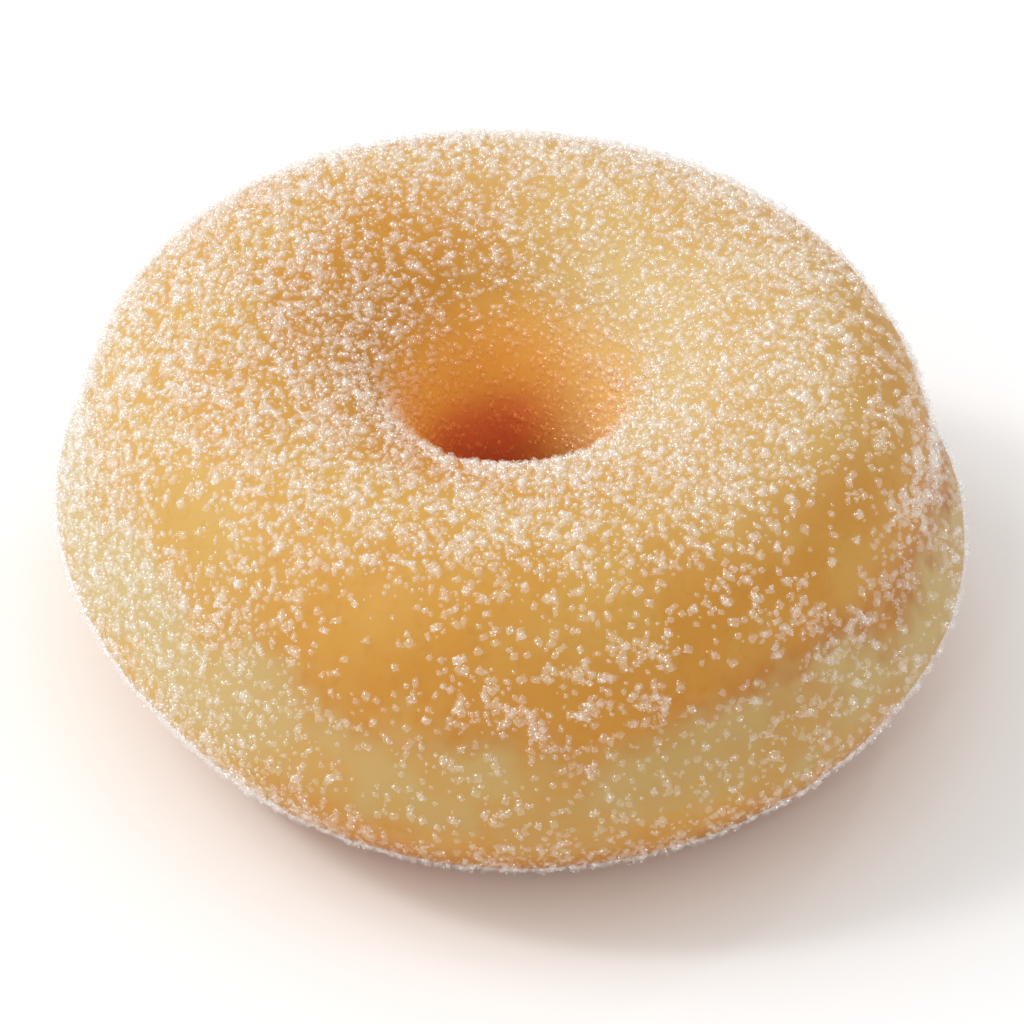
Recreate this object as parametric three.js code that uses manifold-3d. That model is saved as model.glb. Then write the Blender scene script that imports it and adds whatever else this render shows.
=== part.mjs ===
// A mini ring doughnut of raised dough, fried on both sides and rolled in granulated sugar.
//
// The doughnut lies flat, as on a plate: +Z is up, z = 0 is the surface it rests on, and the
// origin is under the middle of its outline. Azimuth 0 is +X, and -Y is its front. Sizes are in
// millimetres. The ring is one solid: the dough, with its largest sugar crystals fused to it.

import * as THREE from "three";
import { mergeVertices } from "three/addons/utils/BufferGeometryUtils.js";
import Module from "manifold-3d";

// ---- Driving dimensions -------------------------------------------------------------------

const ringRadius = 29.6; // from the middle of the hole to the side of the dough, on average
const throatRadius = 5.1; // the hole at its narrowest
const holeMiddle = { x: 0.15, y: 0.4 }; // off the middle of the outline, as the ring is uneven
const waistHeight = 11.2; // the pale line round the side, where the ring is widest
const crownRise = 15; // from the waist up to the top of the ring
const bellyDrop = 11.85; // from the waist down to where a round belly would end

// Raised dough isn't a round tube: a power under 1 makes its section fuller.
const crownPower = 0.96;
const bellyPower = 0.95;
const sidePower = 0.95;

// The dough that never lay in the oil swells out as a collar, and a crease runs above it.
const collar = { swell: 0.75, at: degrees(-6), below: degrees(14.5), above: degrees(14.5) };
const collarLean = { share: 0.21, towards: degrees(180) }; // it swells most on this side
const crease = { swell: -0.8, at: degrees(14.5), below: degrees(12.5), above: degrees(28.5) };
const creaseLean = { share: 0.52, towards: degrees(-7) }; // it is deepest on this side

// The ring is out of round: each wave goes this many times round it, this far in and out.
const outlineWaves = [
  { lobes: 2, depth: 0.96, towards: degrees(-43) },
  { lobes: 3, depth: 0.49, towards: degrees(25) },
  { lobes: 4, depth: 0.12, towards: degrees(-29) },
];
const crownTilt = { share: 0.04, towards: degrees(93) }; // the crown is higher on this side
const waistTilt = { rise: 0.23, towards: degrees(0) }; // the waist is higher on this side

// How finely the ring is cut into faces.
const stepsRound = 76;
const stepsOverSection = 34;
const rowsTowardsWaist = 0.35; // 0 spreads the rows evenly, and more crowds them at the waist

// The largest sugar crystals: blocks that the dough holds by their lower part.
const crystalCount = 195;
const crystalLength = [0.85, 1.3];
const crystalWidth = [0.7, 0.95];
const crystalDepth = [0.65, 0.85];
const crystalSunk = 0.42; // the share of its depth that is in the dough
const crystalSpacing = 4.6; // no two are nearer than this
const crystalLowest = 1.6; // none is under this height, where the doughnut rests
const crystalFlatness = 1.6; // the larger this is, the flatter they lie on the skin
const crystalSeed = 20;
const triesForEach = 200; // places drawn, at most, for each crystal

// How finely the skin's slope is found, in radians, and how near to each other two vertices are
// one.
const slopeStep = 0.01;
const weldDistance = 1e-4;

// ---- The dough ----------------------------------------------------------------------------

function degrees(angle) {
  return THREE.MathUtils.degToRad(angle);
}

// cos or sin bent by a power, with its sign kept
function bent(value, power) {
  return Math.sign(value) * Math.abs(value) ** power;
}

// a value that grows by this share of itself on one side of the ring and shrinks on the other
function leaning(azimuth, lean) {
  return 1 + lean.share * Math.cos(azimuth - lean.towards);
}

// how far the collar or the crease lifts the surface at this place on the section
function bandSwell(band, section) {
  const away = Math.atan2(Math.sin(section - band.at), Math.cos(section - band.at));
  const spread = away > 0 ? band.above : band.below;
  return band.swell * Math.exp(-((away / spread) ** 2));
}

function outlineRadius(azimuth) {
  return outlineWaves.reduce(
    (radius, wave) => radius + wave.depth * Math.cos(wave.lobes * (azimuth - wave.towards)),
    ringRadius,
  );
}

// A point of the dough's skin. section 0 is the outer side, a quarter turn the top of the ring,
// half a turn the hole's throat, and three quarters the underside.
function doughPoint(azimuth, section) {
  const across = Math.cos(section);
  const up = Math.sin(section);
  const middle = (outlineRadius(azimuth) + throatRadius) / 2;
  const halfWidth = outlineRadius(azimuth) - middle;
  const crown = crownRise * leaning(azimuth, crownTilt);
  const waist = waistHeight + waistTilt.rise * Math.cos(azimuth - waistTilt.towards);
  const swell =
    leaning(azimuth, collarLean) * bandSwell(collar, section) +
    leaning(azimuth, creaseLean) * bandSwell(crease, section);
  const radius = middle + halfWidth * bent(across, sidePower) + swell * across;
  const rise = up > 0 ? crown * bent(up, crownPower) : bellyDrop * bent(up, bellyPower);
  return new THREE.Vector3(
    holeMiddle.x + radius * Math.cos(azimuth),
    holeMiddle.y + radius * Math.sin(azimuth),
    Math.max(waist + rise + swell * up, 0), // flat where it rests
  );
}

function doughNormal(azimuth, section) {
  const ahead = doughPoint(azimuth + slopeStep, section);
  const behind = doughPoint(azimuth - slopeStep, section);
  const above = doughPoint(azimuth, section + slopeStep);
  const below = doughPoint(azimuth, section - slopeStep);
  return ahead.sub(behind).cross(above.sub(below)).normalize();
}

// A torus gives the closed net of faces, and each of its corners moves to its place on the skin.
function doughGeometry() {
  const geometry = new THREE.TorusGeometry(2, 1, stepsOverSection, stepsRound);
  const place = geometry.attributes.position;
  const turn = geometry.attributes.uv;
  for (let i = 0; i < place.count; i++) {
    const azimuth = (turn.getX(i) % 1) * 2 * Math.PI;
    const row = (turn.getY(i) % 1) * 2 * Math.PI;
    const section = row - rowsTowardsWaist * Math.sin(row);
    const point = doughPoint(azimuth, section);
    place.setXYZ(i, point.x, point.y, point.z);
  }
  return geometry;
}

// ---- The sugar crystals -------------------------------------------------------------------

// a seeded draw from 0 to 1, the same each time
function seededDraw(seed) {
  const modulus = 2 ** 31 - 1;
  const multiplier = 48271; // the minimal standard generator
  let state = seed;
  return () => {
    state = (state * multiplier) % modulus;
    return state / modulus;
  };
}

// Places on the skin, no two too near each other. A draw counts only as often as the skin there
// is long round the ring, so that the hole gets no more crystals than the side.
function crystalPlaces(draw) {
  const places = [];
  const mostTries = crystalCount * triesForEach;
  for (let tries = 0; places.length < crystalCount && tries < mostTries; tries++) {
    const azimuth = draw() * 2 * Math.PI;
    const section = draw() * 2 * Math.PI;
    const point = doughPoint(azimuth, section);
    const reach = Math.hypot(point.x, point.y) / (ringRadius + collar.swell);
    const fits =
      draw() < reach &&
      point.z > crystalLowest &&
      places.every((other) => other.point.distanceTo(point) > crystalSpacing);
    if (fits) places.push({ point, normal: doughNormal(azimuth, section) });
  }
  return places;
}

function crystalGeometry(place, draw) {
  const between = ([low, high]) => THREE.MathUtils.lerp(low, high, draw());
  const depth = between(crystalDepth);
  const geometry = new THREE.BoxGeometry(between(crystalLength), between(crystalWidth), depth);
  const outwards = new THREE.Vector3(0, 0, 1);
  const lie = new THREE.Vector3(draw() - 0.5, draw() - 0.5, crystalFlatness).normalize();
  const turn = new THREE.Quaternion().setFromUnitVectors(outwards, place.normal);
  turn.multiply(new THREE.Quaternion().setFromUnitVectors(outwards, lie));
  turn.multiply(new THREE.Quaternion().setFromAxisAngle(outwards, draw() * Math.PI));
  const middle = place.point.clone().addScaledVector(place.normal, depth * (0.5 - crystalSunk));
  const whole = new THREE.Vector3(1, 1, 1);
  return geometry.applyMatrix4(new THREE.Matrix4().compose(middle, turn, whole));
}

// ---- Joining ------------------------------------------------------------------------------

const wasm = await Module();
wasm.setup();

function solidOf(geometry) {
  const bare = geometry.clone();
  bare.deleteAttribute("normal");
  bare.deleteAttribute("uv");
  const merged = mergeVertices(bare, weldDistance);
  return new wasm.Manifold(
    new wasm.Mesh({
      numProp: 3,
      vertProperties: new Float32Array(merged.attributes.position.array),
      triVerts: new Uint32Array(merged.index.array),
    }),
  );
}

function geometryOf(solid) {
  const mesh = solid.getMesh();
  const geometry = new THREE.BufferGeometry();
  geometry.setAttribute("position", new THREE.BufferAttribute(mesh.vertProperties, 3));
  geometry.setIndex(new THREE.BufferAttribute(mesh.triVerts, 1));
  return geometry;
}

function sugaredRing() {
  const draw = seededDraw(crystalSeed);
  const crystals = crystalPlaces(draw).map((place) => solidOf(crystalGeometry(place, draw)));
  return crystals.reduce((ring, crystal) => ring.add(crystal), solidOf(doughGeometry()));
}

// ---- The object ---------------------------------------------------------------------------

const crust = new THREE.MeshStandardMaterial({
  name: "sugared golden crust",
  color: 0xe0a552,
  roughness: 0.6,
  metalness: 0,
});

const doughnut = new THREE.Mesh(geometryOf(sugaredRing()), crust);
doughnut.name = "doughnut";

const object = new THREE.Group();
object.add(doughnut);

export default object;
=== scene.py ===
"""A mini ring doughnut of raised dough, fried golden on both sides and rolled in sugar.

It is laid out as an add-on: sizes and colours are properties, and each operator makes one
piece or group of like pieces. The dough is one skin made by Geometry Nodes from the same sizes
as the solid model. The sugar is scattered over it by Geometry Nodes, one piece for each grade
of crystal. Lengths are in metres, +Z is up, the doughnut rests on z = 0, and -Y is its front.
"""

import math
import random

import bmesh
import bpy
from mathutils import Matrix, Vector


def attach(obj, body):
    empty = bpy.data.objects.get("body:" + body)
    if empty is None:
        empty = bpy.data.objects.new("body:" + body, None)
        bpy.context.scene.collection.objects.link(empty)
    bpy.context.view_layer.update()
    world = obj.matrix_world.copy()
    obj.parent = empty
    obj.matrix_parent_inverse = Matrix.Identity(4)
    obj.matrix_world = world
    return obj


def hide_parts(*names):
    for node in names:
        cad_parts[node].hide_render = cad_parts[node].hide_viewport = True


bl_info = {
    "name": "Mini Doughnut",
    "version": (1, 0, 0),
    "blender": (4, 5, 0),
    "location": "View3D > Sidebar > Doughnut",
    "description": "Makes a sugared mini ring doughnut round its solid model",
    "category": "Add Mesh",
}

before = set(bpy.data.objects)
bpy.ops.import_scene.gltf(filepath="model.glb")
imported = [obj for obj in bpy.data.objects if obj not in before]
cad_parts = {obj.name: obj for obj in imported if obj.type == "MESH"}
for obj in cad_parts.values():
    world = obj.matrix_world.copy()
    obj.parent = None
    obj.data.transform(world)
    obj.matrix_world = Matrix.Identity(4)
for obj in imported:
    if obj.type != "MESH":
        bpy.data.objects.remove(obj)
DOUGH_NODE = "doughnut"
BODY = "root"
MM = 0.001
PER_SQUARE_MM = 1e6  # one on a square millimetre, as Blender counts it, on a square metre
SEAM_GAP = 1e-6  # how near the sheet's edges come when it is bent into the ring
FOOT_HEIGHT = 2.5 * MM  # the skin's lumps fade out below this, where the dough rests

# Each grade of sugar: its name, a crystal's length in millimetres, the most crystals on a
# square millimetre, how many of a crystal's corners are cut off, and its seed.
SUGAR_GRADES = (
    ("sugar_coarse", 0.58, 1.9, 3, 11),
    ("sugar_medium", 0.44, 2.9, 1, 23),
    ("sugar_small", 0.31, 2.6, 1, 37),
    ("sugar_fine", 0.23, 3.0, 0, 41),
    ("sugar_dust", 0.17, 2.4, 0, 53),
)
CRYSTAL_SHAPES = 6  # different crystals in each grade
CRYSTAL_LEAN = 0.25  # how far a crystal leans at most, as a share of its height
CRYSTAL_JITTER = 0.09  # how far a crystal's corners are out of place at most
CORNER_LEFT = 0.55  # the most that is left of half an edge where its corner is cut off
SMALLEST_CRYSTAL = (0.65, 0.65, 0.6)  # its sides, as shares of the grade's length
LARGEST_CRYSTAL = (1.3, 1.0, 0.9)
LIFT = 0.2  # how far a crystal's middle is off the crust, as a share of its length

# A crystal's look, on a block from -0.5 to 0.5 each way: where its painted glints sit, how wide
# those glints are, where its bright rim, a painted highlight, begins and is full, and where its
# corners end.
GLINT_SPOTS = ((0.3, 0.3, 0.5), (-0.5, 0.1, -0.33), (0.15, -0.5, 0.3))
GLINT_RADII = (0.05, 0.15)
RIM_REACH = (0.39, 0.48)
CORNER_END = 0.54

# Between these heights the crystals' tint goes from the low one to the sides' and from there to
# the crown's, and between these distances from the axis from the hole's tint to the others.
LOW_HEIGHTS = (5 * MM, 12 * MM)
CROWN_HEIGHTS = (14 * MM, 21 * MM)
HOLE_RADII = (5.5 * MM, 9.5 * MM)
SUNNY_PART = (2 * MM, 6 * MM)  # and along X, towards the wall of the hole that the light meets

# Where the crust is nearly bare: degrees round the ring, degrees up its section, and how many
# degrees round the ring each patch reaches. Then how far up the section they reach.
BARE_PATCHES = ((324, 42, 9), (214, 45, 10), (252, 36, 11), (300, 30, 7))
BARE_PATCH_RISE = 13

# Angles on the section between which one part goes over into the next.
CROWN_EDGE = (math.radians(45), math.radians(80))
BELLY_EDGE = (0.25, 0.8)  # under the waist
BELLY_COAT_EDGE = (math.radians(-40), math.radians(-10))
LIGHTLY_FRIED_EDGE = (0.9, 1.3)
LOW_DOME_AT = math.radians(30)  # where the sugar clings in clumps
LOW_DOME_SPREAD = math.radians(19)

# How wide the spots of each pattern are, in millimetres.
CLOUD_SIZE = 7.0
MOTTLE_SIZE = 0.8
PORE_SIZE = 0.9
CLUMP_SIZE = 2.4
BAND_WANDER_SIZE = 9.0
BAND_FRAY_SIZE = 1.6
# How far the pale band strays, and how far over it its brown rim is, in radians.
BAND_WANDER = 0.7
BAND_FRAY = 0.3
BAND_RIM_ABOVE = 0.12
BAND_RIM_SPREAD = 0.22

# The soft lights: name, place and width in metres, and watts. They all face AIM.
LAMPS = (
    ("key", (-0.45, 0.1, 0.45), 0.4, 1.25),
    ("key_glint", (-0.42, 0.02, 0.45), 0.1, 0.62),
    ("glint_0", (0.3, 0.35, 0.45), 0.04, 0.12),
    ("glint_1", (-0.15, -0.45, 0.4), 0.04, 0.12),
)
AIM = Vector((0, 0, 0.01))
FLOOR_HALF = 3.0  # metres
CLEAR_LAYERS = 24  # how many faces of crystals are seen through each other
WHITE = (1.0, 1.0, 1.0, 1.0)


# ---- Sizes and colours ----------------------------------------------------------------------


def length(name, description, millimetres):
    """A property that holds a length."""
    return bpy.props.FloatProperty(
        name=name,
        description=description,
        default=millimetres * MM,
        unit="LENGTH",
        subtype="DISTANCE",
        precision=5,
    )


def angle(name, description, degrees):
    """A property that holds an angle."""
    return bpy.props.FloatProperty(
        name=name,
        description=description,
        default=math.radians(degrees),
        unit="ROTATION",
        subtype="ANGLE",
    )


def lens_size(name, description, millimetres):
    """A property that holds a camera's length in millimetres, as Blender's cameras do."""
    return bpy.props.FloatProperty(
        name=name,
        description=description,
        default=millimetres,
        unit="CAMERA",
    )


def share(name, description, default):
    """A property that holds a plain number."""
    return bpy.props.FloatProperty(name=name, description=description, default=default)


def count(name, description, default):
    """A property that holds a whole number."""
    return bpy.props.IntProperty(name=name, description=description, default=default)


def colour(name, description, red, green, blue):
    """A property that holds a colour."""
    return bpy.props.FloatVectorProperty(
        name=name,
        description=description,
        default=(red, green, blue),
        size=3,
        subtype="COLOR",
        min=0,
        max=1,
    )


class DoughSizes(bpy.types.PropertyGroup):
    """The ring of dough, as the solid model has it."""

    ring_radius: length("Ring radius", "Middle of the hole to the side, on average", 29.6)
    throat_radius: length("Throat radius", "The hole at its narrowest", 5.1)
    hole_x: length("Hole x", "The hole's middle is this far off the outline's", 0.15)
    hole_y: length("Hole y", "The hole's middle is this far off the outline's", 0.4)
    waist_height: length("Waist height", "Where the ring is widest", 11.2)
    crown_rise: length("Crown rise", "Waist to the top of the ring", 15)
    belly_drop: length("Belly drop", "Waist to where a round belly would end", 11.85)
    crown_power: share("Crown power", "Under 1 makes the crown fuller", 0.96)
    belly_power: share("Belly power", "Under 1 makes the belly fuller", 0.95)
    side_power: share("Side power", "Under 1 makes the sides fuller", 0.95)
    collar_swell: length("Collar swell", "How far the pale collar stands out", 0.75)
    collar_at: angle("Collar at", "Where on the section the collar is", -6)
    collar_spread: angle("Collar spread", "How wide the collar is", 14.5)
    collar_lean: share("Collar lean", "How uneven the collar is round the ring", 0.21)
    collar_towards: angle("Collar towards", "The side where it swells most", 180)
    crease_depth: length("Crease depth", "How deep the crease over the collar is", 0.8)
    crease_at: angle("Crease at", "Where on the section the crease is", 14.5)
    crease_below: angle("Crease below", "How wide it is below its deepest line", 12.5)
    crease_above: angle("Crease above", "How wide it is above its deepest line", 28.5)
    crease_lean: share("Crease lean", "How uneven the crease is round the ring", 0.52)
    crease_towards: angle("Crease towards", "The side where it is deepest", -7)
    two_lobes: length("Two lobes", "Depth of the wave that goes twice round", 0.96)
    two_lobes_at: angle("Two lobes at", "Where that wave stands out", -43)
    three_lobes: length("Three lobes", "Depth of the wave that goes three times round", 0.49)
    three_lobes_at: angle("Three lobes at", "Where that wave stands out", 25)
    four_lobes: length("Four lobes", "Depth of the wave that goes four times round", 0.12)
    four_lobes_at: angle("Four lobes at", "Where that wave stands out", -29)
    crown_tilt: share("Crown tilt", "How uneven the crown is round the ring", 0.04)
    crown_towards: angle("Crown towards", "The side where the crown is highest", 93)
    waist_tilt: length("Waist tilt", "How much the waist rises towards +X", 0.23)
    lump_height: length("Lump height", "How far the skin's low lumps stand out", 0.16)
    lump_size: length("Lump size", "How wide those lumps are", 6)
    blister_height: length("Blister height", "How far the fine blisters stand out", 0.045)
    blister_size: length("Blister size", "How wide those blisters are", 1.1)
    sugar_room: length("Sugar room", "How far the skin lies under the sugared outline", 0.18)
    steps_round: count("Steps round", "Faces round the ring", 380)
    steps_over: count("Steps over", "Faces over the section", 250)


class CrustColours(bpy.types.PropertyGroup):
    """The crust's colours and the place of its pale band."""

    golden: colour("Golden", "The crust over most of the ring", 0.59, 0.265, 0.036)
    # Light is also painted light: it makes the crown lighter where the light falls on it.
    light: colour("Light", "Its lighter clouds, and the crown", 0.62, 0.355, 0.08)
    # Straw also paints light on the wall of the hole that the lamp meets.
    straw: colour("Straw", "The crust where it was fried least", 0.61, 0.425, 0.14)
    # Brown also paints shade on the belly, and in part in the crease above the band.
    brown: colour("Brown", "Its deepest fried patches and the rim of the band", 0.43, 0.135, 0.015)
    pale: colour("Pale", "The band that never lay in the oil, at the two sides", 0.57, 0.415, 0.18)
    cream: colour("Cream", "The same band at the front and the back", 0.54, 0.345, 0.12)
    # Beige also paints light on the wall of the hole that the lamp meets.
    beige: colour("Beige", "The crown's far side, which is dusted finely", 0.66, 0.49, 0.22)
    # Throat is painted light: the orange glow of light bounced inside the hole.
    throat: colour("Throat", "Inside the hole", 0.98, 0.5, 0.1)
    # Deepest is painted shade, reddened as by light bounced inside the hole.
    deepest: colour("Deepest", "Halfway down the hole", 0.78, 0.19, 0.08)
    least_fried: angle("Least fried", "The side of the ring that was fried least", 190)
    band_at: angle("Band at", "The band's middle on the section", 3)
    band_rise: angle("Band rise", "How much higher it runs where the ring was fried least", 6)
    band_half_width: angle("Band half width", "From its middle to its edge", 5)
    band_softness: angle("Band softness", "How gradually it turns golden", 18)


class SugarGrade(bpy.types.PropertyGroup):
    """One grade of sugar crystal."""

    size: length("Size", "Mean length of a crystal", 0.7)
    density: share("Density", "Most crystals on a square millimetre", 1.0)
    cut_corners: count("Cut corners", "How many of a crystal's corners are cut off", 2)
    seed: count("Seed", "Picks another scatter", 1)


class SugarCoat(bpy.types.PropertyGroup):
    """What the sugar looks like."""

    crown_tint: colour("Crown tint", "The crystals on the crown", 0.92, 0.77, 0.63)
    tint: colour("Tint", "The crystals on the sides", 0.97, 0.89, 0.82)
    low_tint: colour("Low tint", "The crystals under the waist", 0.95, 0.8, 0.66)
    hole_tint: colour("Hole tint", "The crystals in the hole, lit by its walls", 1.0, 0.46, 0.13)
    clearest: share("Clearest", "How much the clearest crystals hide, from 0 to 1", 0.03)
    gloss: share("Gloss", "How much a crystal's faces mirror, from 0 to 1", 0.1)
    roughness: share("Roughness", "How dull the faces of a crystal are", 0.12)


class StageLook(bpy.types.PropertyGroup):
    """The floor, the light and the camera."""

    floor: colour("Floor", "The plain floor", 0.96, 0.96, 0.96)
    room_light: share("Room light", "Strength of the even light from all round", 0.79)
    lamp_power: share("Lamp power", "The soft lights' power, 1 as they are set", 1.0)
    elevation: angle("Elevation", "How steeply the camera looks down", 39.76)
    distance: length("Distance", "Camera to its target", 430)
    target_height: length("Target height", "Where on the axis the camera looks", 10.59)
    sensor: lens_size("Sensor", "Width of the camera's sensor", 36)
    lens: lens_size("Lens", "The camera's focal length", 227.5)


# ---- Node trees -----------------------------------------------------------------------------


class Value:
    """A number in a node tree. Each operator adds the Math node that works it out."""

    def __init__(self, tree, socket):
        self.tree = tree
        self.socket = socket

    def maths(self, operation, *others, clamp=False):
        settings = {"operation": operation, "use_clamp": clamp}
        return self.tree.add("ShaderNodeMath", settings, dict(enumerate((self, *others))))

    def __add__(self, other):
        return self.maths("ADD", other)

    def __sub__(self, other):
        return self.maths("SUBTRACT", other)

    def __mul__(self, other):
        return self.maths("MULTIPLY", other)

    def __truediv__(self, other):
        return self.maths("DIVIDE", other)

    def __pow__(self, other):
        return self.maths("POWER", other)

    def __rsub__(self, other):
        return -self + other

    def __rtruediv__(self, other):
        return self ** -1 * other

    def __neg__(self):
        return self * -1

    def __abs__(self):
        return self.maths("ABSOLUTE")

    __radd__ = __add__
    __rmul__ = __mul__

    def cos(self):
        return self.maths("COSINE")

    def sin(self):
        return self.maths("SINE")

    def bell(self, spread):
        """1 where this is 0, and near 0 where it is more than twice the spread."""
        return ((self / spread) ** 2 * -1).maths("EXPONENT")

    def bent(self, power):
        """This to a power, with its sign kept."""
        return self.maths("SIGN") * abs(self) ** power

    def clear(self):
        """This held between 0 and 1."""
        return self.maths("ADD", 0, clamp=True)

    def step(self, low, high):
        """0 up to low, 1 from high on, and smooth between them."""
        ranges = {0: self, 1: low, 2: high, 3: 0.0, 4: 1.0}
        return self.tree.add("ShaderNodeMapRange", {"interpolation_type": "SMOOTHSTEP"}, ranges)


class Tree:
    """Adds nodes to a node tree."""

    def __init__(self, nodes, links):
        self.nodes = nodes
        self.links = links

    def add(self, kind, settings=None, inputs=None, output=0):
        """Adds a node with its settings, then its inputs by name or number, and returns the
        output asked for."""
        node = self.nodes.new(kind)
        for name, setting in (settings or {}).items():
            setattr(node, name, setting)
        for name, value in (inputs or {}).items():
            socket = node.inputs[name]
            if isinstance(value, Value):
                self.links.new(value.socket, socket)
            else:
                socket.default_value = value
        return Value(self, node.outputs[output]) if node.outputs else node

    def vector(self, operation, *operands, output=0):
        operands = dict(enumerate(operands))
        return self.add("ShaderNodeVectorMath", {"operation": operation}, operands, output)

    def scaled(self, vector, factor):
        inputs = {"Vector": vector, "Scale": factor}
        return self.add("ShaderNodeVectorMath", {"operation": "SCALE"}, inputs)

    def split(self, vector):
        node = self.add("ShaderNodeSeparateXYZ", None, {"Vector": vector}).socket.node
        return [Value(self, socket) for socket in node.outputs]

    def joined(self, x, y, z):
        return self.add("ShaderNodeCombineXYZ", None, {"X": x, "Y": y, "Z": z})

    def mixed(self, factor, first, second):
        """A colour between two."""
        inputs = {0: factor, 6: first, 7: second}
        return self.add("ShaderNodeMix", {"data_type": "RGBA"}, inputs, 2)

    def layered(self, shade, *layers):
        """A colour with others laid over it, each with how much of it covers what is below."""
        for factor, rgb in layers:
            shade = self.mixed(factor, shade, opaque(rgb))
        return shade

    def noise(self, place, size, detail=2.0, roughness=0.5):
        """Even noise, about 0.5 in the middle, whose spots are of this size."""
        inputs = {"Vector": place, "Scale": 1 / size, "Detail": detail, "Roughness": roughness}
        return self.add("ShaderNodeTexNoise", {"noise_dimensions": "3D"}, inputs)

    def ring_angles(self, here, over):
        """For a place on the dough's skin and its section's cosine and sine: that cosine, the
        angle on the section and the angle round the ring."""
        across, up, _ = self.split(over)
        x, y, _ = self.split(here)
        return across, up.maths("ARCTAN2", across), y.maths("ARCTAN2", x)


def opaque(rgb):
    """A colour socket's value."""
    return (*rgb, 1.0)


class Builder(Tree):
    """A Geometry Nodes tree with named inputs, run on an object by a modifier."""

    def __init__(self, name):
        self.group = bpy.data.node_groups.new(name, "GeometryNodeTree")
        super().__init__(self.group.nodes, self.group.links)
        self.named = {}
        self.values = {}
        self.source = self.nodes.new("NodeGroupInput")
        self.input("Geometry", "NodeSocketGeometry", None)

    def input(self, name, kind, value):
        """Adds a named input and returns what it carries."""
        item = self.group.interface.new_socket(name, in_out="INPUT", socket_type=kind)
        if value is not None:
            self.values[item.identifier] = value
        self.named[name] = Value(self, self.source.outputs[-2])
        return self.named[name]

    def inputs_of(self, group):
        """Adds an input for each number of a property group."""
        kinds = {"FLOAT": "NodeSocketFloat", "INT": "NodeSocketInt"}
        for name in group.bl_rna.properties.keys():
            prop = group.bl_rna.properties[name]
            if prop.type in kinds and not prop.is_readonly and not prop.is_array:
                self.input(name, kinds[prop.type], getattr(group, name))
        return self.named

    def finish(self, geometry, material):
        """Ends the tree: instances realized, and the material set."""
        geometry = self.add("GeometryNodeRealizeInstances", None, {"Geometry": geometry})
        inputs = {"Geometry": geometry, "Material": material}
        geometry = self.add("GeometryNodeSetMaterial", None, inputs)
        self.group.interface.new_socket(
            "Geometry", in_out="OUTPUT", socket_type="NodeSocketGeometry"
        )
        self.links.new(geometry.socket, self.nodes.new("NodeGroupOutput").inputs[0])

    def random(self, low, high, seed):
        """A vector drawn anew for each point, each part between its low and its high."""
        settings = {"data_type": "FLOAT_VECTOR"}
        return self.add("FunctionNodeRandomValue", settings, {0: low, 1: high, "Seed": seed})

    def any_turn(self, seed):
        """A rotation drawn anew for each point."""
        angles = self.random((0.0,) * 3, (math.tau,) * 3, seed)
        return self.add("FunctionNodeEulerToRotation", None, {"Euler": angles})

    def choice_of(self, shapes):
        """Instances of these objects, for a node that picks one of them for each point."""
        choice = self.nodes.new("GeometryNodeJoinGeometry")
        for shape in shapes:
            inputs = {"Object": shape, "As Instance": True}
            one = self.add("GeometryNodeObjectInfo", None, inputs, "Geometry")
            self.links.new(one.socket, choice.inputs[0])
        return Value(self, choice.outputs[0])

    def grow(self, name, start=None):
        """Runs the tree on a mesh and returns the result as an object with a plain mesh."""
        mesh = start or bpy.data.meshes.new(name)
        piece = bpy.data.objects.new(name, mesh)
        bpy.context.scene.collection.objects.link(piece)
        modifier = piece.modifiers.new(name, "NODES")
        modifier.node_group = self.group
        for identifier, value in self.values.items():
            modifier[identifier] = value
        graph = bpy.context.evaluated_depsgraph_get()
        graph.update()
        grown = bpy.data.meshes.new_from_object(piece.evaluated_get(graph), depsgraph=graph)
        piece.modifiers.remove(modifier)
        piece.data = grown
        grown.name = name
        if not grown.polygons:
            raise RuntimeError(f"{name} came out empty")
        return piece


# ---- The dough ------------------------------------------------------------------------------


def ring_place(tree, size, around, section):
    """Where the dough's skin is. section 0 is the outer side, a quarter turn the top of the
    ring, half a turn the throat, and minus a quarter turn the underside."""

    def leaning(amount, side):
        return 1 + amount * (around - side).cos()

    def wave(lobes, depth, side):
        return depth * ((around - side) * lobes).cos()

    across, up = section.cos(), section.sin()
    outer = (
        size["ring_radius"]
        + wave(2, size["two_lobes"], size["two_lobes_at"])
        + wave(3, size["three_lobes"], size["three_lobes_at"])
        + wave(4, size["four_lobes"], size["four_lobes_at"])
    )
    middle = (outer + size["throat_radius"]) / 2
    half_width = outer - middle

    from_collar = section - size["collar_at"]
    collar_lean = leaning(size["collar_lean"], size["collar_towards"])
    collar = size["collar_swell"] * collar_lean * from_collar.bell(size["collar_spread"])
    from_crease = section - size["crease_at"]
    above = from_crease.maths("GREATER_THAN", 0)
    spread = size["crease_below"] + above * (size["crease_above"] - size["crease_below"])
    crease_lean = leaning(size["crease_lean"], size["crease_towards"])
    crease = size["crease_depth"] * crease_lean * from_crease.bell(spread)
    swell = collar - crease

    radius = middle + half_width * across.bent(size["side_power"]) + swell * across
    crown = size["crown_rise"] * leaning(size["crown_tilt"], size["crown_towards"])
    over = up.maths("GREATER_THAN", 0)
    rise = over * crown * abs(up) ** size["crown_power"]
    drop = (1 - over) * size["belly_drop"] * abs(up) ** size["belly_power"]
    waist = size["waist_height"] + size["waist_tilt"] * around.cos()
    height = (waist + rise - drop + swell * up).maths("MAXIMUM", 0)
    return tree.joined(
        size["hole_x"] + radius * around.cos(),
        size["hole_y"] + radius * around.sin(),
        height,
    )


def above_the_floor(tree, geometry):
    """Nothing reaches below what the doughnut rests on."""
    x, y, z = tree.split(tree.add("GeometryNodeInputPosition"))
    place = tree.joined(x, y, z.maths("MAXIMUM", 0))
    return tree.add("GeometryNodeSetPosition", None, {"Geometry": geometry, "Position": place})


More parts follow.
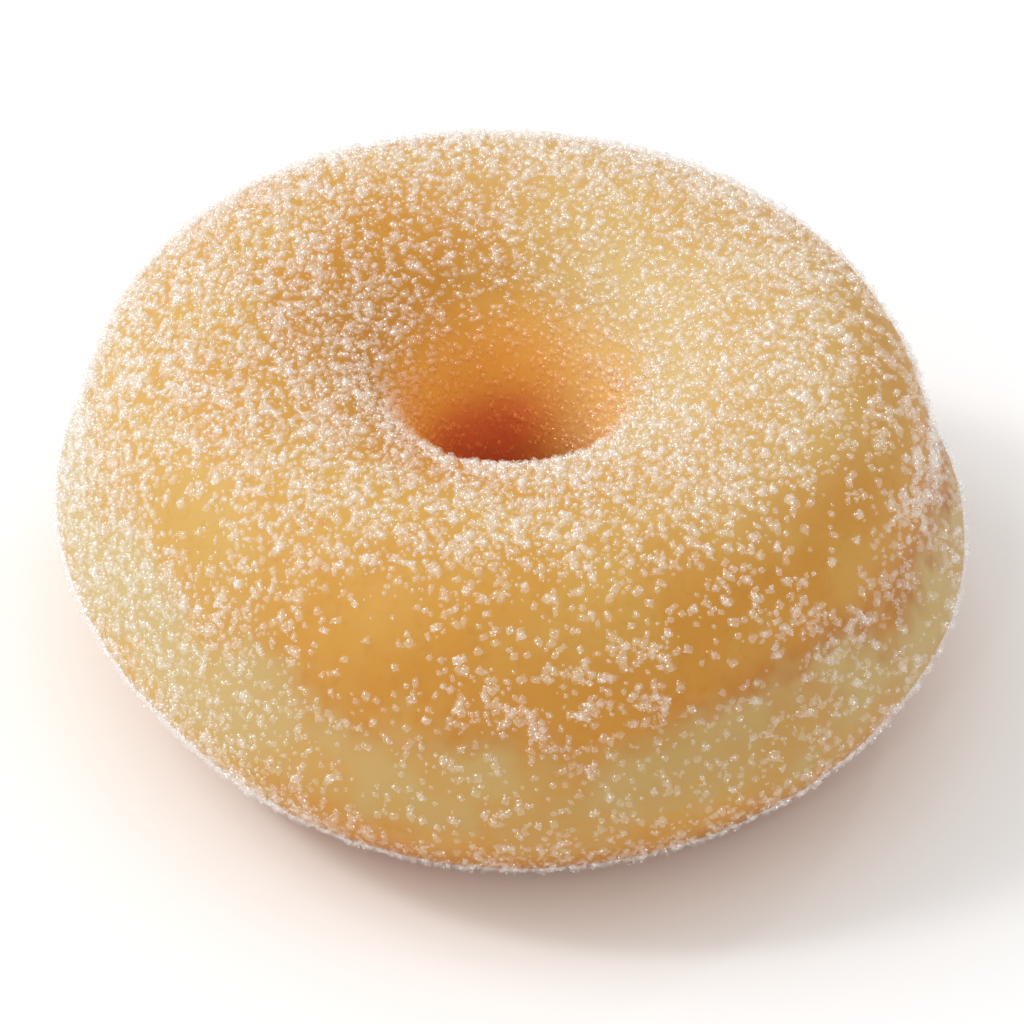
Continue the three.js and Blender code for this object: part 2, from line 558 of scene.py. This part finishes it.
def dough_tree(sizes, material):
    """A sheet bent round into the ring, closed along its seams, then raised in low lumps."""
    tree = Builder("Dough")
    size = tree.inputs_of(sizes)
    sheet = tree.add(
        "GeometryNodeMeshGrid",
        None,
        {
            "Size X": math.tau,
            "Size Y": math.tau,
            "Vertices X": size["steps_round"] + 1,
            "Vertices Y": size["steps_over"] + 1,
        },
    )
    around, row, _ = tree.split(tree.add("GeometryNodeInputPosition"))
    section = tree.add(
        "GeometryNodeStoreNamedAttribute",
        {"data_type": "FLOAT_VECTOR", "domain": "POINT"},
        {"Geometry": sheet, "Name": "section", "Value": tree.joined(row.cos(), row.sin(), 0)},
    )
    place = ring_place(tree, size, around, row)
    ring = tree.add("GeometryNodeSetPosition", None, {"Geometry": section, "Position": place})
    inputs = {"Geometry": ring, "Distance": SEAM_GAP}
    closed = tree.add("GeometryNodeMergeByDistance", None, inputs)

    here = tree.add("GeometryNodeInputPosition")
    off_floor = tree.split(here)[2].step(0.0, FOOT_HEIGHT)
    in_mm = tree.scaled(here, 1 / MM)
    lumps = tree.noise(in_mm, size["lump_size"] / MM) - 0.5
    blisters = tree.noise(in_mm, size["blister_size"] / MM) - 0.5
    raised = 2 * (lumps * size["lump_height"] + blisters * size["blister_height"])
    raised = raised - size["sugar_room"]
    offset = tree.scaled(tree.add("GeometryNodeInputNormal"), raised * off_floor)
    lumpy = tree.add("GeometryNodeSetPosition", None, {"Geometry": closed, "Offset": offset})
    smooth = tree.add("GeometryNodeSetShadeSmooth", None, {"Geometry": lumpy})
    tree.finish(above_the_floor(tree, smooth), material)
    return tree


def towards(around, degrees):
    """1 on this side of the ring, and -1 on the other."""
    return (around - math.radians(degrees)).cos()


def shaded_wall(around, across):
    """1 on the left wall of the hole and its lip, which the light doesn't meet."""
    return (-across).step(-0.2, 0.4) * (-around.cos()).step(-0.2, 0.5)


def crust_shade(tree, look, here, mottle):
    """The crust's colour: golden clouds, painted lighter on the crown where the light falls and
    beige on its far side, a pale band round the waist with a browner rim above it that is partly
    painted shade in the crease, a belly browned with painted shade, and a hole painted with the
    orange glow of light bounced inside it, darkened with painted shade halfway down, painted
    lighter on the wall that the lamp meets and darker on the wall in shade."""
    over = tree.add("ShaderNodeAttribute", {"attribute_name": "section"}, output="Vector")
    across, section, around = tree.ring_angles(here, over)
    on_the_left = towards(around, 190).step(0.5, 1.05)
    on_the_right = towards(around, 350).step(0.6, 1.1)
    to_least_fried = (around - look.least_fried).cos()
    inside = (-across).step(0.1, 0.6)
    # Painted light: the right wall of the hole, which the lamp meets, is painted pale in straw and
    # beige, and the throat's deep colours are kept off it.
    sunny_wall = inside * around.cos().step(-0.1, 0.8)
    clouds = tree.noise(here, CLOUD_SIZE, 2, 0.55)

    wander = (tree.noise(here, BAND_WANDER_SIZE, 1) - 0.5) * BAND_WANDER
    frayed = (tree.noise(here, BAND_FRAY_SIZE, 1) - 0.5) * BAND_FRAY
    band_middle = look.band_at + look.band_rise * to_least_fried
    from_band = abs(section - band_middle + wander + frayed)
    band = 1 - from_band.step(look.band_half_width, look.band_half_width + look.band_softness)
    band = band * (0.6 + 0.4 * (clouds.step(0.42, 0.58) + on_the_left)).clear()
    at_a_side = (on_the_left + on_the_right).clear()
    pale = tree.mixed(at_a_side, opaque(look.cream), opaque(look.pale))
    # The brown rim above the band lies in the crease: it is partly the crust's own deeper frying
    # and partly painted shade.
    rim_away = section - (band_middle + look.band_half_width + BAND_RIM_ABOVE) + wander
    rim = rim_away.bell(BAND_RIM_SPREAD) * clouds.step(0.3, 0.6)

    crown = section.step(*CROWN_EDGE)
    # Painted light and shade: the crown is painted lighter where the light falls on it, and the
    # left wall of the hole is painted darker where it lies in shade. The lighter clouds are the
    # crust's own uneven tone.
    clouds_and_painted_light = clouds.step(0.38, 0.7) * 0.6 + 0.55 * crown - 0.9 * shaded_wall(around, across)
    lightly_fried = to_least_fried.step(0.5, 1.0) * (1 - section.step(*LIGHTLY_FRIED_EDGE))
    # Painted shade: the belly is browned towards the floor, where less light reaches it.
    belly = (-section).step(*BELLY_EDGE) * (1 - inside)
    far_crown = crown * (1 - inside) * towards(around, 25).step(-0.4, 0.6)
    # Painted light: the throat is painted bright orange, as by light bounced between the walls of
    # the hole.
    painted_throat_glow = (-across).step(0.6, 0.95) * (1 - 0.5 * sunny_wall)
    # Painted shade: halfway down the hole the crust is painted dark red, where little light
    # reaches.
    painted_hole_shade = (-across).step(0.92, 1.0) * (1 - sunny_wall)
    fried = tree.layered(
        opaque(look.golden),
        (clouds_and_painted_light.clear(), look.light),
        ((0.55 * lightly_fried + 0.9 * sunny_wall).clear(), look.straw),
        ((rim * (0.6 - 0.45 * to_least_fried)).clear(), look.brown),
        (mottle.step(0.5, 0.8) * 0.15, look.brown),
        (belly * 0.6, look.brown),
        (0.35 * far_crown + 0.5 * sunny_wall, look.beige),
        (painted_throat_glow * 0.8, look.throat),
        (painted_hole_shade, look.deepest),
    )
    return tree.mixed(band, fried, pale)


def crust_material(look):
    """Fried crust, a little uneven in its gloss and covered in low pores."""
    material = bpy.data.materials.new("Fried crust")
    material.use_nodes = True
    material.node_tree.nodes.clear()
    tree = Tree(material.node_tree.nodes, material.node_tree.links)
    here = tree.scaled(tree.add("ShaderNodeTexCoord", output="Object"), 1 / MM)
    mottle = tree.noise(here, MOTTLE_SIZE, 1, 0.6)
    pores = tree.noise(here, PORE_SIZE, 1, 0.65)
    bump = {"Strength": 0.35, "Distance": 0.12 * MM, "Height": pores}
    crust = tree.add(
        "ShaderNodeBsdfPrincipled",
        None,
        {
            "Base Color": crust_shade(tree, look, here, mottle),
            "Roughness": 0.42 + 0.2 * mottle,
            "Specular IOR Level": 0.3,
            "IOR": 1.42,
            "Normal": tree.add("ShaderNodeBump", None, bump),
        },
    )
    tree.add("ShaderNodeOutputMaterial", None, {"Surface": crust})
    return material


# ---- The sugar ------------------------------------------------------------------------------


def block_edge(tree, in_block):
    """How near to an edge of its block a place on a crystal is: 0 in the middle of a face, 0.5
    at an edge, and more in a corner, so that the corners come out round."""
    first, second, third = (abs(part) for part in tree.split(in_block))
    low = first.maths("MINIMUM", second)
    high = first.maths("MAXIMUM", second)
    middle = low.maths("MAXIMUM", high.maths("MINIMUM", third))
    least = low.maths("MINIMUM", third)
    return (least ** 4 + middle ** 4) ** 0.25


def painted_glints(tree, in_block):
    """1 at the few spots of a crystal that carry a painted glint."""
    nearest = tree.vector("DISTANCE", in_block, GLINT_SPOTS[0], output="Value")
    for spot in GLINT_SPOTS[1:]:
        away = tree.vector("DISTANCE", in_block, spot, output="Value")
        nearest = nearest.maths("MINIMUM", away)
    return 1 - nearest.step(*GLINT_RADII)


def sugar_material(look):
    """Clear crystals: the crust shows through their middle, their edges are painted bright as a
    painted highlight, each is as cloudy as its own number says, a few spots carry painted glints
    that glow, and their faces mirror the lamps. In the hole they take a painted orange light. The
    far side of a crystal is left out, as it would only darken it, and so are its sharp corners."""
    material = bpy.data.materials.new("Sugar crystal")
    material.use_nodes = True
    material.node_tree.nodes.clear()
    tree = Tree(material.node_tree.nodes, material.node_tree.links)
    x, y, z = tree.split(tree.add("ShaderNodeTexCoord", output="Object"))
    from_axis = (x * x + y * y) ** 0.5
    # Painted light: in the hole the crystals and their mirror take the orange of light bounced
    # from its walls, less so on the wall the lamp meets.
    in_hole = (1 - from_axis.step(*HOLE_RADII)) * (1 - 0.5 * x.step(*SUNNY_PART))
    low_down = 1 - z.step(*LOW_HEIGHTS)
    high_up = z.step(*CROWN_HEIGHTS)

    cloudy = tree.add("ShaderNodeAttribute", {"attribute_name": "cloudy"}, output="Fac")
    in_block = tree.add("ShaderNodeAttribute", {"attribute_name": "in_block"}, output="Vector")
    facing = tree.add("ShaderNodeLayerWeight", None, {"Blend": 0.5}, output="Facing")
    to_edge = block_edge(tree, in_block)
    # Painted highlight: a crystal's edges are made paler and less clear, standing in for light
    # refracted at its edges.
    rim = to_edge.step(*RIM_REACH) * (0.6 + 0.4 * facing.step(0.2, 0.7))
    bright = rim * (0.15 + 0.37 * cloudy ** 2)
    white = cloudy.step(0.88, 0.98) * (1 - in_hole)
    # Painted glints: white spots that glow, standing in for light leaving the crystal.
    glint = painted_glints(tree, in_block) * cloudy.step(0.2, 0.8) * (1 - in_hole)
    hides = look.clearest + 0.12 * high_up + bright + 0.1 * white
    hides = hides * (1 - 0.4 * low_down) + 0.9 * glint
    shade = tree.layered(
        opaque(look.tint),
        (high_up, look.crown_tint),
        (low_down, look.low_tint),
        ((0.5 * white + glint).clear(), WHITE[:3]),
        (in_hole, look.hole_tint),
    )
    haze = tree.add(
        "ShaderNodeBsdfPrincipled",
        None,
        {
            "Base Color": shade,
            "Roughness": 0.5,
            "Emission Color": tree.joined(glint, glint, glint),
            "Emission Strength": 0.7,
            "Alpha": hides.clear() * (1 - 0.3 * in_hole),
        },
    )
    mirror = tree.add(
        "ShaderNodeBsdfPrincipled",
        None,
        {
            "Base Color": tree.mixed(in_hole, WHITE, opaque(look.hole_tint)),
            "Metallic": 1.0,
            "Roughness": 0.03 + look.roughness * cloudy,
        },
    )
    faces = tree.add("ShaderNodeMixShader", None, {0: look.gloss, 1: haze, 2: mirror})
    far_side = tree.add("ShaderNodeNewGeometry", output="Backfacing")
    left_out = far_side.maths("MAXIMUM", to_edge.maths("GREATER_THAN", CORNER_END))
    nothing = tree.add("ShaderNodeBsdfTransparent")
    crystal = tree.add("ShaderNodeMixShader", None, {0: left_out, 1: faces, 2: nothing})
    tree.add("ShaderNodeOutputMaterial", None, {"Surface": crystal})
    # The painted glints glow, but they light nothing else.
    material.cycles.emission_sampling = "NONE"  # the glints light nothing else
    return material


def sugar_cover(tree, here, over, size):
    """How much of the full coat lies here, from 0 to 1, for crystals of this size. It is thick
    on the crown, thinner in the hole and under the belly, and thin on the lower dome and the
    waist: there it comes in clumps at the front right, where larger crystals cling, and is an
    even dusting on the left. A few patches are nearly bare."""
    across, section, around = tree.ring_angles(here, over)
    to_clumps = towards(around, 320)
    crown = (section - math.radians(9) * to_clumps).step(*CROWN_EDGE)
    belly = 0.27 * (1 - section.step(*BELLY_COAT_EDGE))
    throat = (-across).step(0.5, 0.95)
    thick = crown.maths("MAXIMUM", belly) * (1 - 0.5 * throat)
    thick = thick * (1 - 0.5 * shaded_wall(around, across))

    clumps = tree.noise(here, CLUMP_SIZE, 3, 0.6)
    low_dome = (section - LOW_DOME_AT).bell(LOW_DOME_SPREAD)
    in_clumps = 0.15 + 0.7 * low_dome * to_clumps.step(0.1, 0.8)
    dusted = 0.5 * towards(around, 180).step(0.3, 0.95)
    large = size.step(0.15 * MM, 0.5 * MM)
    strewn = 0.04 + 0.1 * large + (0.3 + 0.7 * large) * clumps.step(0.45, 0.6) * in_clumps
    thin = dusted + strewn

    near_lip = (-across).step(0.2, 0.7) * (-around.sin()).step(0.2, 0.8)
    cover = thick * (0.68 + 0.3 * clumps) * (1 - 0.5 * near_lip) + thin * (1 - thick)
    rise = math.radians(BARE_PATCH_RISE)
    for patch_around, patch_section, patch_width in BARE_PATCHES:
        beside = (2 - 2 * towards(around, patch_around)) / math.radians(patch_width) ** 2
        above = section - math.radians(patch_section)
        away = (beside + (above / rise) ** 2) ** 0.5
        cover = cover * (1 - 0.9 * away.bell(1.0))
    return cover.clear()


def sugar_tree(grade, material, crystals):
    """Crystals of one grade, strewn over the dough, each sunk a little into it."""
    tree = Builder("Sugar")
    named = tree.inputs_of(grade)
    over = tree.add(
        "GeometryNodeInputNamedAttribute", {"data_type": "FLOAT_VECTOR"}, {"Name": "section"}
    )
    here = tree.scaled(tree.add("GeometryNodeInputPosition"), 1 / MM)
    cover = sugar_cover(tree, here, over, named["size"])
    scatter = tree.add(
        "GeometryNodeDistributePointsOnFaces",
        {"distribute_method": "RANDOM"},
        {
            "Mesh": tree.named["Geometry"],
            "Density": cover * named["density"] * PER_SQUARE_MM,
            "Seed": named["seed"],
        },
    )
    upright = Value(tree, scatter.socket.node.outputs["Rotation"])
    outwards = Value(tree, scatter.socket.node.outputs["Normal"])
    lifted = tree.add(
        "GeometryNodeSetPosition",
        None,
        {"Geometry": scatter, "Offset": tree.scaled(outwards, LIFT * named["size"])},
    )
    tumbled = tree.add(
        "FunctionNodeRotateRotation",
        {"rotation_space": "LOCAL"},
        {"Rotation": upright, "Rotate By": tree.any_turn(named["seed"] + 1)},
    )
    grown = tree.random(SMALLEST_CRYSTAL, LARGEST_CRYSTAL, named["seed"] + 2)
    strewn = tree.add(
        "GeometryNodeInstanceOnPoints",
        None,
        {
            "Points": lifted,
            "Instance": tree.choice_of(crystals),
            "Pick Instance": True,
            "Rotation": tumbled,
            "Scale": tree.scaled(grown, named["size"]),
        },
    )
    cloudy = tree.split(tree.random((0.0,) * 3, (1.0,) * 3, named["seed"] + 3))[0]
    told_apart = tree.add(
        "GeometryNodeStoreNamedAttribute",
        {"data_type": "FLOAT", "domain": "INSTANCE"},
        {"Geometry": strewn, "Name": "cloudy", "Value": cloudy},
    )
    realized = tree.add("GeometryNodeRealizeInstances", None, {"Geometry": told_apart})
    rounded = tree.add("GeometryNodeSetShadeSmooth", None, {"Geometry": realized})
    tree.finish(above_the_floor(tree, rounded), material)
    return tree


def crystal_mesh(cut_corners, draw):
    """One crystal of unit size: a leaning, uneven block with some of its corners cut off. Each
    of its vertices keeps its place in the even block as in_block."""
    ends = (-0.5, 0.5)
    block = [Vector((x, y, z)) for x in ends for y in ends for z in ends]
    lean = draw.uniform(-CRYSTAL_LEAN, CRYSTAL_LEAN)
    cut = draw.sample(range(len(block)), cut_corners)
    shape = bmesh.new()
    in_block = shape.verts.layers.float_vector.new("in_block")
    for number, corner in enumerate(block):
        jitter = Vector(draw.uniform(-CRYSTAL_JITTER, CRYSTAL_JITTER) for _ in range(3))
        places = [corner]
        if number in cut:
            places = [corner.copy() for _ in range(3)]
            for axis, place in enumerate(places):
                place[axis] *= draw.uniform(0.0, CORNER_LEFT)
        for place in places:
            sheared = place + Vector((lean * place.z, 0, 0))
            shape.verts.new(sheared + jitter)[in_block] = place
    bmesh.ops.convex_hull(shape, input=shape.verts)
    bmesh.ops.recalc_face_normals(shape, faces=shape.faces)
    mesh = bpy.data.meshes.new("crystal")
    shape.to_mesh(mesh)
    shape.free()
    return mesh


def strew(grade, dough, material):
    """Makes one grade of sugar, as a piece of its own."""
    draw = random.Random(grade.seed)
    crystals = [
        bpy.data.objects.new("crystal", crystal_mesh(grade.cut_corners, draw))
        for _ in range(CRYSTAL_SHAPES)
    ]
    tree = sugar_tree(grade, material, crystals)
    sugar = tree.grow(grade.name, dough.data)
    for crystal in crystals:
        bpy.data.objects.remove(crystal)
    # clear sugar lets the light through to the crust
    sugar.visible_shadow = False
    sugar.visible_diffuse = False
    sugar.visible_glossy = False
    return sugar


# ---- Operators ------------------------------------------------------------------------------


class DOUGHNUT_OT_dough(bpy.types.Operator):
    """Makes the ring of dough in place of its plain solid"""

    bl_idname = "doughnut.dough"
    bl_label = "Dough"

    def execute(self, context):
        scene = context.scene
        tree = dough_tree(scene.dough_sizes, crust_material(scene.crust_colours))
        dough = tree.grow("dough")
        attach(dough, BODY)
        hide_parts(DOUGH_NODE)
        return {"FINISHED"}


class DOUGHNUT_OT_sugar(bpy.types.Operator):
    """Strews the sugar over the dough, one piece for each grade of crystal"""

    bl_idname = "doughnut.sugar"
    bl_label = "Sugar"

    def execute(self, context):
        scene = context.scene
        dough = bpy.data.objects["dough"]
        material = sugar_material(scene.sugar_coat)
        for name, size, density, cut_corners, seed in SUGAR_GRADES:
            grade = scene.sugar_grades.add()
            grade.name = name
            grade.size = size * MM
            grade.density = density
            grade.cut_corners = cut_corners
            grade.seed = seed
            sugar = strew(grade, dough, material)
            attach(sugar, BODY)
        return {"FINISHED"}


class DOUGHNUT_OT_stage(bpy.types.Operator):
    """Sets the plain floor, the soft light and the camera"""

    bl_idname = "doughnut.stage"
    bl_label = "Stage"

    def execute(self, context):
        scene = context.scene
        make_floor(scene.stage_look)
        make_light(scene, scene.stage_look)
        make_camera(scene, scene.stage_look)
        return {"FINISHED"}


def make_floor(look):
    """A large pale sheet."""
    half = FLOOR_HALF
    mesh = bpy.data.meshes.new("floor")
    outline = [(-half, -half, 0), (half, -half, 0), (half, half, 0), (-half, half, 0)]
    mesh.from_pydata(outline, [], [(0, 1, 2, 3)])
    material = bpy.data.materials.new("Plain floor")
    material.use_nodes = True
    paint = material.node_tree.nodes["Principled BSDF"]
    paint.inputs["Base Color"].default_value = opaque(look.floor)
    paint.inputs["Roughness"].default_value = 0.9
    mesh.materials.append(material)
    floor = bpy.data.objects.new("floor", mesh)
    bpy.context.scene.collection.objects.link(floor)


def make_light(scene, look):
    """A pale room, a large soft light high on the left, and small ones that glint."""
    world = bpy.data.worlds.new("Studio")
    world.use_nodes = True
    background = world.node_tree.nodes["Background"]
    background.inputs["Color"].default_value = WHITE
    background.inputs["Strength"].default_value = look.room_light
    scene.world = world
    for name, place, width, watts in LAMPS:
        lamp = bpy.data.lights.new(name, "AREA")
        lamp.shape = "DISK"
        lamp.size = width
        lamp.energy = watts * look.lamp_power
        light = bpy.data.objects.new(name, lamp)
        light.location = place
        light.rotation_euler = (AIM - light.location).to_track_quat("-Z", "Y").to_euler()
        scene.collection.objects.link(light)
    scene.view_settings.view_transform = "Standard"
    scene.cycles.transparent_max_bounces = CLEAR_LAYERS


def make_camera(scene, look):
    """The photograph's view: from the front, steeply down, with a long lens."""
    lens = bpy.data.cameras.new("camera")
    lens.sensor_width = look.sensor
    lens.lens = look.lens
    lens.clip_start = 0.01
    camera = bpy.data.objects.new("camera", lens)
    sizes = scene.dough_sizes
    target = Vector((sizes.hole_x, sizes.hole_y, look.target_height))
    back = Vector((0, -math.cos(look.elevation), math.sin(look.elevation)))
    camera.location = target + look.distance * back
    camera.rotation_euler = (-back).to_track_quat("-Z", "Y").to_euler()
    scene.collection.objects.link(camera)
    scene.camera = camera


class DOUGHNUT_PT_panel(bpy.types.Panel):
    """Lists the doughnut's pieces"""

    bl_idname = "DOUGHNUT_PT_panel"
    bl_label = "Mini Doughnut"
    bl_space_type = "VIEW_3D"
    bl_region_type = "UI"
    bl_category = "Doughnut"

    def draw(self, context):
        for operator in OPERATORS:
            self.layout.operator(operator.bl_idname)


# ---- Registering and running ----------------------------------------------------------------

GROUPS = {
    "dough_sizes": DoughSizes,
    "crust_colours": CrustColours,
    "sugar_coat": SugarCoat,
    "stage_look": StageLook,
}
OPERATORS = (DOUGHNUT_OT_dough, DOUGHNUT_OT_sugar, DOUGHNUT_OT_stage)
CLASSES = (*GROUPS.values(), SugarGrade, *OPERATORS, DOUGHNUT_PT_panel)


def register():
    for one in CLASSES:
        bpy.utils.register_class(one)
    for name, group in GROUPS.items():
        setattr(bpy.types.Scene, name, bpy.props.PointerProperty(type=group))
    bpy.types.Scene.sugar_grades = bpy.props.CollectionProperty(type=SugarGrade)


def unregister():
    del bpy.types.Scene.sugar_grades
    for name in GROUPS:
        delattr(bpy.types.Scene, name)
    for one in reversed(CLASSES):
        bpy.utils.unregister_class(one)


def main():
    register()
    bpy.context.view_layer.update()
    bpy.ops.doughnut.dough()
    bpy.ops.doughnut.sugar()
    bpy.ops.doughnut.stage()


if __name__ == "__main__":
    main()
